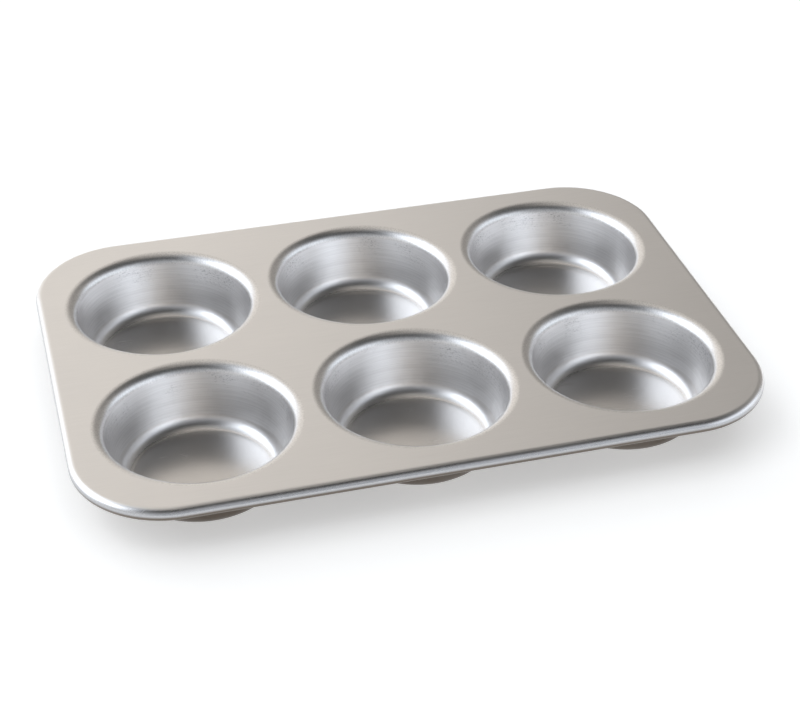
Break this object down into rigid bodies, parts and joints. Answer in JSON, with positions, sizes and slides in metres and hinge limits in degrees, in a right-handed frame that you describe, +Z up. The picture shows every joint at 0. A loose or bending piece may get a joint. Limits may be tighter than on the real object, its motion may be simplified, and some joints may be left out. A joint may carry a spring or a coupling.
{
  "type": "muffin tin",
  "caption": "Jumbo muffin tin: a flat aluminium deck with rows of round drawn cups and a wired, curled rim with rounded corners.",
  "frame": {"origin": "on the surface the tin stands on, under the middle of the deck", "axes": "+X along the long side, the three cups of a row; +Y across the two rows; +Z up, out of the cups"},
  "size_m": [0.394, 0.2736, 0.0384],
  "materials": {
    "pan_aluminium": "satin",
    "wire_steel": "satin"
  },
  "bodies": {
    "root": {"pan": "pan_aluminium", "rim_wire": "wire_steel"}
  },
  "joints": []
}
